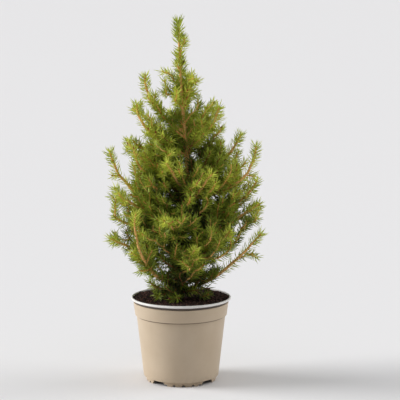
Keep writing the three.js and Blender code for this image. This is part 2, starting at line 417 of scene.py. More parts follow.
def curveAt(ends, share):
    start, elbow, tip = ends
    return start * (1 - share) ** 2 + elbow * (2 * share * (1 - share)) + tip * share ** 2


# How a bough's line is fitted to its limb and mass.
boughFit = {
    "endCorners": 5,                # corners that mark a limb's near and far end
    "elbows": (0.35, 1.05, 15),     # shares of the way out that are tried for the bend
    "along": (0.2, 1, 30),          # points at which each try is compared with the mass
}


# A bough's line runs from the trunk's middle through its limb to its foliage's far tip.
def readBough(name):
    limb = corners(f"bough_{name}")
    away = [(Vector(corner) - trunkAt(corner[2])).xy.length for corner in limb]
    order = np.argsort(away)
    near = Vector(limb[order[:boughFit["endCorners"]]].mean(0))
    far = Vector(limb[order[-boughFit["endCorners"]:]].mean(0))
    heading = (far - near).normalized()
    start = near - heading * (near - trunkAt(near.z)).xy.length
    mass = corners(f"foliage_{name}")
    reach = np.linalg.norm(mass - np.array(near), axis=1)
    tip = Vector(mass[np.argmax(reach)])
    best = None
    for share in np.linspace(*boughFit["elbows"]):
        ends = (start, start + heading * ((tip - start).length * share), tip)
        line = np.array([curveAt(ends, along) for along in np.linspace(*boughFit["along"])])
        miss = np.median(np.linalg.norm(mass[:, None] - line[None], axis=2).min(1))
        if best is None or miss < best[0]:
            best = (miss, ends)
    return best[1]


# Growth: boughs, side shoots and twiglets, by a seeded rule

growth = {
    "seed": 23,
    "waveSeed": 1,            # for the slight waves in boughs and twigs
    "step": 0.0025,           # from point to point along a shoot
    "needlePast": 0.0075,     # how far a bough's own needles stand past its end
    "sidePast": 0.0045,       # and a side shoot's
    "slack": 0.0022,          # how far outside its space a shoot may stray
    "rootPoints": 4,          # points at a shoot's root that may stray further
    "bareRoot": 0.09,         # share of a bough without needles
    "boughThick": (0.0025, 0.0020, 0.0012),   # radius at root, middle and end
    "boughWave": (60, 0.0016),    # how closely and how far a bough's line waves
    "waveFrom": 3,            # the first point that waves
    "sagBelow": 0.150,        # boughs that start below this hang or rise in their middle
    "sagReach": 0.04,         # if they reach this far to the side
    "sagRight": 0.018,
    "sagLeft": -0.014,
    "tilt": (-0.25, 1.05),    # of a side shoot, from the level of its stem towards the stem's inner face
    "rise": 0.03,             # how much each step turns up
    "wander": 0.05,
}

# Side shoots on boughs, and twiglets on side shoots: first and last are shares of the stem's length.
sideRule = {
    "level": 1,
    "thick": (0.0015, 0.0010),    # radius at root and end
    "first": 0.14,
    "last": 0.55,
    "gap": 0.0046,
    "gapLuck": (0.75, 1.25),
    "angle": (36, 58),
    "share": 0.62,            # length, as a share of what is left of the stem
    "length": (0.014, 0.046),
    "lengthLuck": (0.75, 1.15),
    "least": 0.008,           # shorter ones are left out
    "branchesFrom": 0.013,    # longer ones grow twiglets
}
twigletRule = {
    "level": 2,
    "thick": (0.0010, 0.0007),
    "first": 0.25,
    "last": 0.68,
    "gap": 0.0058,
    "gapLuck": (0.8, 1.25),
    "angle": (36, 54),
    "share": 0.6,
    "length": (0.009, 0.018),
    "lengthLuck": (0.8, 1.1),
    "least": 0.006,
    "branchesFrom": math.inf,
}
dice = random.Random(growth["seed"])
noise.seed_set(growth["waveSeed"])
shoots = []     # every shoot: its points, thickness, level (0 for boughs), bare share, shade and place


def wanderLine(start, direction, length, rise):
    points, heading = [start.copy()], direction.copy()
    for _ in range(max(2, round(length / growth["step"]))):
        wobble = Vector([dice.uniform(-1, 1) for _ in range(3)]) * growth["wander"]
        heading = (heading + up * rise + wobble).normalized()
        points.append(points[-1] + heading * growth["step"])
    return points


# Cuts a line back to where it and its end's needles are still in the foliage's space.
def keptInside(points, slack):
    last = 0
    for index in range(1, len(points)):
        if not hasRoom(points[index], slack) and index > growth["rootPoints"]:
            break
        ahead = (points[index] - points[index - 1]).normalized() * growth["sidePast"]
        if hasRoom(points[index] + ahead, slack):
            last = index
    return points[: last + 1]


def lengthOf(points):
    return sum((after - before).length for before, after in zip(points, points[1:]))


def addShoot(points, thick, level, bare=0.0, dim=0.0):
    shoots.append({"points": points, "thick": thick, "level": level, "bare": bare, "dim": dim,
                   "out": outness(points[-1]), "length": lengthOf(points)})


# The direction of a side shoot: it leaves level with its stem or on the stem's inner face, so that the
# outer face shows the bark.
def sideways(points, index, side, angle, tilt):
    heading = (points[index + 1] - points[index]).normalized()
    across = heading.cross(up)
    across = across.normalized() if across.length > 1e-4 else Vector((1, 0, 0))
    inward = across.cross(heading)
    flat = across * (side * math.cos(tilt)) + inward * math.sin(tilt)
    return heading * math.cos(angle) + flat * math.sin(angle)


# Shoots along a stem, left and right in turn.
def growAlong(points, rule):
    length = lengthOf(points)
    along, side = rule["first"] * length, dice.choice((-1, 1))
    while along < rule["last"] * length:
        index = min(len(points) - 2, int(along / growth["step"]))
        angle = math.radians(dice.uniform(*rule["angle"]))
        direction = sideways(points, index, side, angle, dice.uniform(*growth["tilt"]))
        wanted = between(rule["share"] * (length - along), *rule["length"])
        wanted *= dice.uniform(*rule["lengthLuck"])
        shoot = keptInside(wanderLine(points[index], direction, wanted, growth["rise"]), growth["slack"])
        if lengthOf(shoot) >= rule["least"]:
            addShoot(shoot, rule["thick"], rule["level"])
            if lengthOf(shoot) > rule["branchesFrom"]:
                growAlong(shoot, twigletRule)
        side = -side
        along += rule["gap"] * dice.uniform(*rule["gapLuck"])


# A curve as evenly spaced points that stop short of its end.
def spacedLine(ends, stop):
    fine = [curveAt(ends, share) for share in np.linspace(0, 1, 400)]
    length = lengthOf(fine) - stop
    points, gone, last = [fine[0]], 0.0, 0.0
    for before, after in zip(fine, fine[1:]):
        gone += (after - before).length
        if gone - last >= growth["step"] and gone <= length:
            points.append(after)
            last = gone
    return points


# A slight wave, so that no line is a drawn curve.
def waved(points, first, wave):
    closeness, size = wave
    moved = [point + noise.noise_vector(point * closeness) * size for point in points[first:]]
    return points[:first] + moved


def boughLine(name):
    ends = readBough(name)
    if ends[0].z < growth["sagBelow"] and abs(ends[2].x) > growth["sagReach"]:
        ends[1].z -= growth["sagRight"] if ends[2].x > 0 else growth["sagLeft"]
    return waved(spacedLine(ends, growth["needlePast"]), growth["waveFrom"], growth["boughWave"])


boughLines = {name: boughLine(name) for name in boughNames}
for name in room["shown"]:
    line = boughLines[name]
    shownLines.append(np.array(line[int(room["shownFrom"] * len(line)):]))
for line in boughLines.values():
    addShoot(line, growth["boughThick"], 0, growth["bareRoot"])
    growAlong(line, sideRule)

# Shoots that spring from the trunk itself, turn by turn up its height.
sleeve = {"least": 0.006, "branchesFrom": 0.016, "gapLuck": (0.8, 1.2)}
sleeveRules = {
    "leader": {"heights": (0.376, 0.418), "gap": 0.0052, "angle": (26, 38),
               "length": (0.008, 0.013), "slack": 0.004},
    "whorl": {"heights": (0.351, 0.365), "gap": 0.0017, "angle": (22, 33),
              "length": (0.026, 0.037), "slack": 0.005},
    "crown": {"heights": (0.285, 0.340), "gap": 0.0030, "angle": (38, 56),
              "length": (0.024, 0.048), "slack": 0.003},
    "low_skirt": {"heights": (0.110, 0.150), "gap": 0.0020, "angle": (58, 98),
                  "length": (0.02, 0.05), "slack": 0.003},
}


def growSleeve(rule):
    height, top = rule["heights"]
    spin = dice.uniform(0, math.tau)
    while height < top:
        angle = math.radians(dice.uniform(*rule["angle"]))
        out = Vector((math.cos(spin), math.sin(spin), 0))
        direction = up * math.cos(angle) + out * math.sin(angle)
        wanted = dice.uniform(*rule["length"])
        side = keptInside(wanderLine(trunkAt(height), direction, wanted, growth["rise"]), rule["slack"])
        if lengthOf(side) >= sleeve["least"]:
            addShoot(side, sideRule["thick"], sideRule["level"])
            if lengthOf(side) > sleeve["branchesFrom"]:
                growAlong(side, twigletRule)
        spin += goldenTurn
        height += rule["gap"] * dice.uniform(*sleeve["gapLuck"])


for rule in sleeveRules.values():
    growSleeve(rule)
say(f"limbs grown: {len(shoots)} shoots")


# The shoots that close the crown.
fill = {
    "tries": 16000,           # places tried
    "plumeShare": 0.04,       # share of them that goes to the plumes
    "gap": 0.0082,            # a place counts as bare this far from any needled shoot
    "longest": 0.040,
    "headroom": 0.004,        # space that a place needs above it
    "outward": 0.62,          # the way that a shoot would run: this much outwards
    "upward": 0.78,           # and this much up
    "detour": 1.7,            # the higher, the less any other way costs
    "closest": 0.006,         # wood nearer than this is passed over
    "rootHeights": (0.112, 0.36, 0.003),     # of the trunk, from which shoots may spring: from, to, every
    "leaderHeights": (0.345, 0.466, 0.003),  # of the trunk that has needles of its own
    "longFrom": 0.016,        # from this length a shoot is as thick as a side shoot
    "dim": 0.12,              # how much darker it is than the boughs' own shoots
    "bulge": 0.12,            # how far it bows outwards, as a share of its length
    "sag": 0.14,              # and down
    "wave": (150, 0.0008),
}


# A shoot from the wood to a place that no needles reach: it leaves outwards and turns up.
def fillLine(start, place):
    gap = (place - start).length
    away = place - trunkAt(place.z)
    away.z = 0
    out = away.normalized() if away.length > 1e-4 else Vector((1, 0, 0))
    elbow = start.lerp(place, 0.5) + out * (fill["bulge"] * gap) - up * (fill["sag"] * gap)
    count = max(3, round(gap / growth["step"]))
    points = [curveAt((start, elbow, place), share) for share in np.linspace(0, 1, count + 1)]
    return waved(points, 1, fill["wave"])


# Bare places that lie in the foliage's space, from the trunk outwards.
def findPlaces():
    low = Vector([min(corner[axis] for corner in crownCloud) for axis in range(3)])
    high = Vector([max(corner[axis] for corner in crownCloud) for axis in range(3)])
    places = []
    for _ in range(fill["tries"]):
        place = Vector([dice.uniform(low[axis], high[axis]) for axis in range(3)])
        if dice.random() < fill["plumeShare"]:
            x, y, z, wide, deep, tall = dice.choice(room["plumes"])
            across, back, rise = (dice.uniform(-half, half) for half in (wide, deep, tall))
            place = Vector((x + across, y + back, z + rise))
        if hasRoom(place, growth["slack"]) and hasRoom(place + up * fill["headroom"], growth["slack"]):
            places.append((outness(place), place))
    return [place for out, place in sorted(places, key=lambda pair: pair[0])]


# Points in an array with room for those that come later.
class Spots:
    def __init__(self, points, spare=40000):
        self.count = len(points)
        self.held = np.empty((self.count + spare, 3))
        self.held[:self.count] = points

    def add(self, points):
        self.held[self.count:self.count + len(points)] = points
        self.count += len(points)

    def raysTo(self, spot):
        return spot - self.held[:self.count]


# Each place still out of the needles' reach draws a shoot to itself from the wood that suits it best.
def fillCrown():
    places = findPlaces()
    wood = [point for shoot in shoots for point in shoot["points"]]
    wood += [trunkAt(height) for height in np.arange(*fill["rootHeights"])]
    needled = []
    for shoot in shoots:
        needled += shoot["points"][round(shoot["bare"] * len(shoot["points"])):]
    needled += [trunkAt(height) for height in np.arange(*fill["leaderHeights"])]
    wood, needled = Spots(wood), Spots(needled)
    for place in places:
        spot = np.array(place)
        if np.linalg.norm(needled.raysTo(spot), axis=1).min() < fill["gap"]:
            continue
        away = place - trunkAt(place.z)
        wish = Vector((away.x, away.y, 0)).normalized() * fill["outward"] + up * fill["upward"]
        rays = wood.raysTo(spot)
        gaps = np.linalg.norm(rays, axis=1) + 1e-6
        price = gaps * (fill["detour"] - rays @ np.array(wish) / gaps)
        price[gaps < fill["closest"]] += 1
        root = int(price.argmin())
        if gaps[root] > fill["longest"]:
            continue
        points = fillLine(Vector(wood.held[root]), place)
        rule = sideRule if lengthOf(points) > fill["longFrom"] else twigletRule
        addShoot(points, rule["thick"], rule["level"], dim=fill["dim"])
        wood.add(points)
        needled.add(points)


fillCrown()
total = sum(shoot["length"] for shoot in shoots)
say(f"grown: {len(shoots)} shoots, {total:.1f} m in all")


# Finishes of the plant

needleTints = {       # from the darkest to the freshest; the dark ones stand partly for older needles and partly for painted shade deep in the crown
    "needlesShade": (0.056, 0.076, 0.012),
    "needlesDeep": (0.140, 0.188, 0.022),
    "needlesLeaf": (0.270, 0.340, 0.035),
    "needlesFresh": (0.430, 0.500, 0.056),
    "needlesTip": (0.650, 0.710, 0.100),
}
needleFinishes = []
for name, colour in needleTints.items():
    finish = Finish(name, Base_Color=(*colour, 1), Roughness=0.5, Specular_IOR_Level=0.28)
    needleFinishes.append(finish.material)


def makeBark():
    bark = {
        "dark": (0.030, 0.018, 0.011),
        "brown": (0.105, 0.056, 0.028),
        "tan": (0.780, 0.360, 0.105),
        "pale": (0.880, 0.540, 0.220),
        "tanFrom": 0.026,      # distance from the trunk where a bough starts to pale
        "tanAt": 0.052,
        "highFrom": 0.230,     # height where the trunk starts to pale
        "highAt": 0.280,
    }
    finish = Finish("bark", Roughness=0.7, Specular_IOR_Level=0.3)
    x, y, z = finish.axes()
    away = (x * x + y * y) ** 0.5
    high = z.ramp(bark["highFrom"], bark["highAt"])
    young = (away.ramp(bark["tanFrom"], bark["tanAt"]) + high).clamped()
    coarse = finish.grain(330, 4, 0.6)
    scales = finish.grain(900, 3, 0.6, (1, 1, 0.45))
    old = finish.mixColour(coarse.ramp(0.35, 0.7), bark["dark"], bark["brown"])
    fresh = finish.mixColour(scales.ramp(0.35, 0.65), bark["tan"], bark["pale"])
    finish.feed("Base Color", finish.mixColour(young, old, fresh))
    finish.feed("Roughness", 0.62 + scales * 0.3)
    finish.relief(scales, 0.0005, 0.6)
    return finish.material


def makeTwigFinish(name, dark, light):
    finish = Finish(name, Roughness=0.62, Specular_IOR_Level=0.3)
    patches = finish.grain(220, 3, 0.55)
    finish.feed("Base Color", finish.mixColour(patches.ramp(0.35, 0.65), dark, light))
    finish.feed("Roughness", 0.55 + patches * 0.25)
    finish.relief(finish.grain(1500, 2), 0.0003, 0.5)
    return finish.material


barkFinish = makeBark()
youngFinish = makeTwigFinish("youngTwig", (0.780, 0.340, 0.090), (0.900, 0.530, 0.190))
oldFinish = makeTwigFinish("oldTwig", (0.220, 0.095, 0.036), (0.460, 0.220, 0.080))
budFinish = makeTwigFinish("budScale", (0.250, 0.070, 0.022), (0.480, 0.190, 0.060))


# Wood: one maker for the trunk, boughs and twigs

woodMaker = Maker("roundWood", {
    "Spacing": ("Float", 0.002),
    "Sides": ("Int", 8),
    "Relief": ("Float", 0.0),
    "Relief Scale": ("Float", 300.0),
    "Material": ("Material", None),
})


def buildWoodMaker(maker):
    line = maker.node("GeometryNodeMeshToCurve", {}, {0: maker.entry["Geometry"]}).outputs[0]
    line = maker.node("GeometryNodeResampleCurve", {"mode": "LENGTH"},
                      {"Curve": line, "Length": maker.size("Spacing")}).outputs[0]
    ring = maker.node("GeometryNodeCurvePrimitiveCircle", {"mode": "RADIUS"},
                      {"Resolution": maker.size("Sides"), "Radius": 1.0}).outputs[0]
    skin = maker.node("GeometryNodeCurveToMesh", {}, {
        "Curve": line, "Profile Curve": ring, "Scale": maker.named("thick"), "Fill Caps": True}).outputs[0]
    place = maker.node("GeometryNodeInputPosition").outputs[0]
    normal = maker.node("GeometryNodeInputNormal").outputs[0]
    rough = maker.sum("ShaderNodeTexNoise", {}, {
        "Vector": place, "Scale": maker.size("Relief Scale"), "Detail": 3.0})
    push = (rough - 0.5) * maker.size("Relief")
    offset = maker.node("ShaderNodeVectorMath", {"operation": "SCALE"}, {0: normal, "Scale": push})
    inputs = {"Geometry": skin, "Offset": offset.outputs[0]}
    skin = maker.node("GeometryNodeSetPosition", {}, inputs).outputs[0]
    skin = maker.node("GeometryNodeSetShadeSmooth", {}, {0: skin}).outputs[0]
    maker.close(skin)


buildWoodMaker(woodMaker)


# Lines as an edge mesh; each number that goes along with the points becomes an attribute.
def lineMesh(name, lines):
    vertices, edges = [], []
    values = {key: [] for key in lines[0] if key != "points"}
    for line in lines:
        first = len(vertices)
        vertices += [tuple(point) for point in line["points"]]
        edges += [(first + step, first + step + 1) for step in range(len(line["points"]) - 1)]
        for key, numbers in values.items():
            numbers += list(line[key])
    piece = newPiece(name, vertices, edges, [])
    for key, numbers in values.items():
        piece.data.attributes.new(key, "FLOAT", "POINT").data.foreach_set("value", numbers)
    return piece


def taper(count, stages):
    marks = np.linspace(0, 1, len(stages))
    return np.interp(np.linspace(0, 1, count), marks, stages).tolist()


def woodLines(chosen):
    return [{"points": shoot["points"], "thick": taper(len(shoot["points"]), shoot["thick"])}
            for shoot in chosen]


# Round wood along lines.
def makeWood(name, lines, form, material):
    piece = lineMesh(name, lines)
    return woodMaker.run(piece, {"Spacing": form["spacing"], "Sides": form["sides"], "Relief": form["relief"],
                                 "Relief Scale": form["reliefScale"], "Material": material})


def makeTrunk():
    trunk = {
        "spacing": 0.0014,
        "sides": 22,
        "relief": 0.0011,
        "reliefScale": 420.0,
        "rootSink": 0.004,        # how far it goes down into the compost
        "step": 0.002,
        "pastTop": 0.0005,
        "wave": (45, 0.0009),
        "swell": 0.0006,          # of its knots
        "swellScale": 190,
        "plainTop": 0.010,        # length at its tip without knots
    }
    low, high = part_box("trunk")
    points, thick = [], []
    for height in np.arange(low.z - trunk["rootSink"], high.z + trunk["pastTop"], trunk["step"]):
        point = trunkAt(max(height, low.z))
        point.z = height
        points.append(point)
        knot = max(0.0, noise.noise(Vector((0, 3, height * trunk["swellScale"]))))
        swell = trunk["swell"] * knot if height < high.z - trunk["plainTop"] else 0
        thick.append(trunkThick(max(height, low.z)) + swell)
    lines = [{"points": waved(points, 0, trunk["wave"]), "thick": thick}]
    piece = makeWood("trunkBark", lines, trunk, barkFinish)
    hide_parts("trunk")
    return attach(piece, "root")


def makeBoughs():
    bough = {"spacing": 0.002, "sides": 10, "relief": 0.0006, "reliefScale": 520.0}
    lines = woodLines(shoot for shoot in shoots if shoot["level"] == 0)
    piece = makeWood("boughBark", lines, bough, barkFinish)
    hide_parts(*(f"bough_{name}" for name in boughNames))
    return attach(piece, "root")


def makeTwigs(name, material, chosen):
    twig = {"spacing": 0.0035, "sides": 6, "relief": 0.0002, "reliefScale": 700.0}
    piece = makeWood(name, woodLines(chosen), twig, material)
    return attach(piece, "root")


# Young bark is orange: high up, and at the crown's edge.
def isYoung(shoot):
    height = shoot["points"][-1].z
    return height > 0.33 or (shoot["out"] > 0.55 and height > 0.15)


makeTrunk()
makeBoughs()
twigs = [shoot for shoot in shoots if shoot["level"] > 0]
makeTwigs("twigsYoung", youngFinish, [shoot for shoot in twigs if isYoung(shoot)])
makeTwigs("twigsOld", oldFinish, [shoot for shoot in twigs if not isYoung(shoot)])
say("wood made")


# Needles: one maker sets them round every shoot

needle = {
    "length": 0.0108,
    "width": 0.0010,
    "bow": 0.0006,           # how far the middle stands off the straight line
    "rings": ((0.0, 0.75), (0.55, 1.0)),    # along the length, and how wide there
    "spacing": 0.00048,      # from needle to needle along a shoot
    "lean": 56,              # degrees off the shoot, on its older part
    "tipLean": 36,           # and at its end
    "leanRun": 0.010,
    "leanSpread": 9,
    "spinSpread": 0.45,      # how unevenly they turn round the shoot, in radians
    "sizeRange": (0.78, 1.12),
    "levelSize": (1.08, 1.0, 0.92),    # on boughs, side shoots and twiglets
    "tipSize": 1.06,
    "tipSizeRun": 0.008,
    "seed": 5,
    "splitHeight": 0.225,    # the sprays are joined in two pieces, below and above this
    "boughKeep": 0.62,       # share of the needles that a bough's own line keeps, so that its bark shows
    "sideKeep": 0.9,
    "innerGap": 1.3,         # the darkest sprays, deep inside, are this much sparser
    "tipRun": 0.015,         # length of a shoot's fresh end
    "tipShare": (1.15, 0.9, 0.6),      # of that length, on boughs, side shoots and twiglets
    "secondLean": 13,        # the second round of needles at a fresh end: how much further it leans
    "secondSize": 0.92,
    "secondKeep": 0.8,
}


def makeNeedleShape():
    length, half = needle["length"], needle["width"] / 2
    rings = []
    for share, swell in needle["rings"]:
        bow = needle["bow"] * math.sin(math.pi * share)
        for side in range(3):
            angle = math.tau * side / 3 + math.pi / 6
            across, back = half * swell * math.cos(angle), half * swell * math.sin(angle)
            rings.append((across, back - bow, length * share))
    rings.append((0, 0, length))
    faces = [(2, 1, 0)]
    for side in range(3):
        after = (side + 1) % 3
        faces.append((side, after, 3 + after, 3 + side))
        faces.append((3 + side, 3 + after, 6))
    return newPiece("needleShape", rings, [], faces)


sprayMaker = Maker("needleSprays", {
    "Needle": ("Object", None),
    "Spacing": ("Float", 0.0005),
    "Turn": ("Float", goldenTurn),
    "Lean Spread": ("Float", 0.15),
    "Smallest": ("Float", 0.8),
    "Largest": ("Float", 1.1),
    "Seed": ("Int", 1),
    "Material": ("Material", None),
})


def buildSprayMaker(maker):
    line = maker.node("GeometryNodeMeshToCurve", {}, {0: maker.entry["Geometry"]}).outputs[0]
    line = maker.node("GeometryNodeResampleCurve", {"mode": "LENGTH"},
                      {"Curve": line, "Length": maker.size("Spacing")}).outputs[0]
    seats = maker.node("GeometryNodeCurveToPoints", {"mode": "EVALUATED"}, {0: line}).outputs
    order = maker.sum("GeometryNodeInputIndex")
    seed = maker.size("Seed")
    inputs = {"Vector": seats["Tangent"]}
    along = maker.node("FunctionNodeAlignRotationToVector", {"axis": "Z"}, inputs).outputs[0]
    spin = order * maker.size("Turn") + maker.chance(-needle["spinSpread"], needle["spinSpread"], seed)
    spread = maker.size("Lean Spread")
    lean = maker.named("lean") + maker.chance(spread * -1, spread, seed + 1)
    for axis, angle in (((0, 0, 1), spin), ((1, 0, 0), lean)):
        turn = maker.node("FunctionNodeAxisAngleToRotation", {}, {"Axis": axis, "Angle": angle}).outputs[0]
        along = maker.node("FunctionNodeRotateRotation", {"rotation_space": "LOCAL"},
                           {"Rotation": along, "Rotate By": turn}).outputs[0]
    size = maker.named("size") * maker.chance(maker.size("Smallest"), maker.size("Largest"), seed + 2)
    shape = maker.node("GeometryNodeObjectInfo", {}, {"Object": maker.size("Needle")}).outputs["Geometry"]
    luck = maker.chance(0.0, 1.0, seed + 3)
    kept = luck.math("LESS_THAN", luck, maker.named("keep"))
    needles = maker.node("GeometryNodeInstanceOnPoints", {}, {
        "Points": seats["Points"], "Selection": kept, "Instance": shape, "Rotation": along, "Scale": size})
    maker.close(needles.outputs[0])


buildSprayMaker(sprayMaker)


# A spray's tone runs from 0, the darkest tint, to 1, the freshest. Sprays deep inside the crown get darker
# tints, partly for their older needles and partly as painted shade.
tone = {
    "base": 0.02,
    "outer": 0.66,            # added at the crown's edge; partly fresher growth there, partly painted shade, as the inside is tinted darker
    "outerPower": 1.5,
    "high": ((0.22, 0.335, 0.375), (0, 0.42, 0.60)),    # heights, and what is added there
    "low": ((0.120, 0.160), (0.34, 0)),                 # heights, and what is taken off there
    "luck": 0.15,
    "tip": 0.24,              # added at a shoot's fresh end
    "innerTip": 0.10,         # the same on the inner side of this outness
    "outerFrom": 0.5,
    "boughParts": (-0.12, 0.04, 0.42),    # added to a bough's inner half, outer half and end
}


def toneOf(shoot):
    height = shoot["points"][-1].z
    high, low = (float(np.interp(height, *tone[key])) for key in ("high", "low"))
    # the crown's inside gets a darker tone: partly older needles, partly painted shade
    outer = tone["outer"] * shoot["out"] ** tone["outerPower"]
    return tone["base"] + outer - low + high - shoot["dim"] + dice.uniform(-tone["luck"], tone["luck"])


# A run of needles: its points and, for each, how the needles lean and grow and the share that is kept.
def sprayRun(points, lean, size, keep, first, last):
    part = slice(first, last + 1)
    return {"points": points[part], "lean": np.radians(lean[part]).tolist(), "size": size[part].tolist(),
            "keep": [keep] * (last + 1 - first)}


# A shoot's needles in parts, each with its tint.
def sprayRuns(shoot):
    points, level = shoot["points"], shoot["level"]
    left = (1 - np.linspace(0, 1, len(points))) * shoot["length"]
    lean = np.interp(left, (0, needle["leanRun"]), (needle["tipLean"], needle["lean"]))
    size = np.interp(left, (0, needle["tipSizeRun"]), (needle["tipSize"], 1.0)) * needle["levelSize"][level]
    shade = toneOf(shoot)
    tipFrom = int(np.searchsorted(-left, -needle["tipRun"] * needle["tipShare"][level]))
    bareTo = int(round(shoot["bare"] * (len(points) - 1)))
    cuts = [bareTo, min(max(tipFrom, bareTo), len(points) - 2), len(points) - 1]
    if level == 0:    # a bough's inner half is older than its outer half
        cuts.insert(1, (cuts[0] + cuts[1]) // 2)
        shades = [shade + more for more in tone["boughParts"]]
    else:
        shades = [shade, shade + (tone["tip"] if shoot["out"] > tone["outerFrom"] else tone["innerTip"])]
    keep = needle["boughKeep"] if level == 0 else needle["sideKeep"]
    for first, last, shade in zip(cuts, cuts[1:], shades):
        if last - first < 1:
            continue
        tint = int(between(shade, 0, 0.999) * len(needleTints))
        isTip = last == len(points) - 1
        yield tint, sprayRun(points, lean, size, 1.0 if isTip else keep, first, last)
        if isTip and level < 2:    # the fresh end is twice as full
            wide, small = lean + needle["secondLean"], size * needle["secondSize"]
            yield max(tint - 1, 0), sprayRun(points, wide, small, needle["secondKeep"], first, last)


leader = {
    "low": 0.352,
    "step": 0.0025,
    "lean": ((0, 0.008, 0.02), (34, 46, 54)),    # lengths down from the tip, and degrees off the trunk
    "size": 1.2,
    "fresh": 0.030,           # length of its fresh end
    "olderKeep": 0.28,
    "olderTints": (2, 3),     # one round of needles for each
    "freshKeep": 0.72,
    "freshTints": (2, 3, 4),
}


# The leader's own needles run on down the trunk's top.
def leaderRuns():
    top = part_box("trunk")[1].z
    heights = np.arange(leader["low"], top + 0.0001, leader["step"])
    points = [trunkAt(height) for height in heights]
    left = top - heights
    lean = np.interp(left, *leader["lean"])
    size = np.full(len(points), leader["size"])
    split = int(np.searchsorted(-left, -leader["fresh"]))
    for tint in leader["olderTints"]:
        yield tint, sprayRun(points, lean, size, leader["olderKeep"], 0, split)
    for tint in leader["freshTints"]:
        yield tint, sprayRun(points, lean, size, leader["freshKeep"], split, len(points) - 1)


def makeNeedles():
    shape = makeNeedleShape()
    kinds = {(tint, half): [] for tint in range(len(needleTints)) for half in ("Low", "High")}
    for shoot in shoots:
        for tint, run in sprayRuns(shoot):
            kinds[tint, "High" if run["points"][0].z > needle["splitHeight"] else "Low"].append(run)
    for tint, run in leaderRuns():
        kinds[tint, "High"].append(run)
    for index, ((tint, half), runs) in enumerate(kinds.items()):
        if not runs:
            continue
        name = list(needleTints)[tint] + half
        piece = lineMesh(name, runs)
        sprayMaker.run(piece, {
            "Needle": shape,
            "Spacing": needle["spacing"] * (needle["innerGap"] if tint == 0 else 1),
            "Turn": goldenTurn,
            "Lean Spread": math.radians(needle["leanSpread"]),
            "Smallest": needle["sizeRange"][0],
            "Largest": needle["sizeRange"][1],
            "Seed": needle["seed"] + 10 * index,
            "Material": needleFinishes[tint],
        })
        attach(piece, "root")
        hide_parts(*massNames)
        triangles = sum(len(face.vertices) - 2 for face in piece.data.polygons)
        print(f"          {name}: {len(runs)} runs, {triangles} triangles")
    bpy.data.objects.remove(shape)


makeNeedles()
say("needles made")


# Buds at the ends and forks of shoots

budMaker = Maker("buds", {
    "Bud": ("Object", None),
    "Smallest": ("Float", 0.7),
    "Largest": ("Float", 1.2),
    "Seed": ("Int", 1),
    "Material": ("Material", None),
})


def buildBudMaker(maker):
    seed = maker.size("Seed")
    points = maker.node("GeometryNodeMeshToPoints", {}, {0: maker.entry["Geometry"]}).outputs[0]
    aim = maker.node("GeometryNodeInputNamedAttribute", {"data_type": "FLOAT_VECTOR"}, {"Name": "aim"})
    inputs = {"Vector": aim.outputs[0]}
    along = maker.node("FunctionNodeAlignRotationToVector", {"axis": "Z"}, inputs).outputs[0]
    shape = maker.node("GeometryNodeObjectInfo", {}, {"Object": maker.size("Bud")}).outputs["Geometry"]
    size = maker.chance(maker.size("Smallest"), maker.size("Largest"), seed)
    buds = maker.node("GeometryNodeInstanceOnPoints", {}, {
        "Points": points, "Instance": shape, "Rotation": along, "Scale": size}).outputs[0]
    buds = maker.node("GeometryNodeSetShadeSmooth", {}, {0: buds}).outputs[0]
    maker.close(buds)


buildBudMaker(budMaker)


def lathe(outline, sides):
    vertices, faces = [], []
    for side in range(sides):
        angle = math.tau * side / sides
        for radius, height in outline:
            vertices.append((radius * math.cos(angle), radius * math.sin(angle), height))
    rows = len(outline)
    for side in range(sides):
        after = (side + 1) % sides
        for row in range(rows - 1):
            here, there = side * rows + row, after * rows + row
            faces.append((here, there, there + 1, here + 1))
    return vertices, faces


def closePoles(piece):
    mesh = bmesh.new()
    mesh.from_mesh(piece.data)
    bmesh.ops.remove_doubles(mesh, verts=mesh.verts, dist=1e-6)
    bmesh.ops.recalc_face_normals(mesh, faces=mesh.faces)
    mesh.to_mesh(piece.data)
    mesh.free()
    return piece


def makeBuds():
    bud = {
        "length": 0.0030,
        "radius": 0.0011,
        "sides": 6,
        "tipShare": 0.5,          # share of the ends that have one
        "forkShare": 0.45,        # and of the forks of side shoots
        "innerTo": 0.6,           # twiglets further in than this have none
        "smallest": 0.7,
        "largest": 1.25,
        "seed": 8,
    }
    outline = [(0, 0), (0.8, 0.12), (1.0, 0.4), (0.62, 0.75), (0, 1)]
    outline = [(radius * bud["radius"], height * bud["length"]) for radius, height in outline]
    vertices, faces = lathe(outline, bud["sides"])
    shape = closePoles(newPiece("budShape", vertices, [], faces))
    places, aims = [], []
    for shoot in shoots:
        if shoot["level"] == 2 and shoot["out"] < bud["innerTo"]:
            continue
        points = shoot["points"]
        if dice.random() < bud["tipShare"]:
            places.append(points[-1])
            aims.append((points[-1] - points[-2]).normalized())
        if shoot["level"] == 1 and dice.random() < bud["forkShare"] and len(points) > 3:
            places.append(points[1])
            aims.append((points[2] - points[0]).normalized())
    piece = newPiece("buds", [tuple(place) for place in places], [], [])
    aim = piece.data.attributes.new("aim", "FLOAT_VECTOR", "POINT")
    aim.data.foreach_set("vector", [value for vector in aims for value in vector])
    budMaker.run(piece, {"Bud": shape, "Smallest": bud["smallest"], "Largest": bud["largest"],
                         "Seed": bud["seed"], "Material": budFinish})
    bpy.data.objects.remove(shape)
    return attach(piece, "root")


makeBuds()
say("buds made")


# The pot

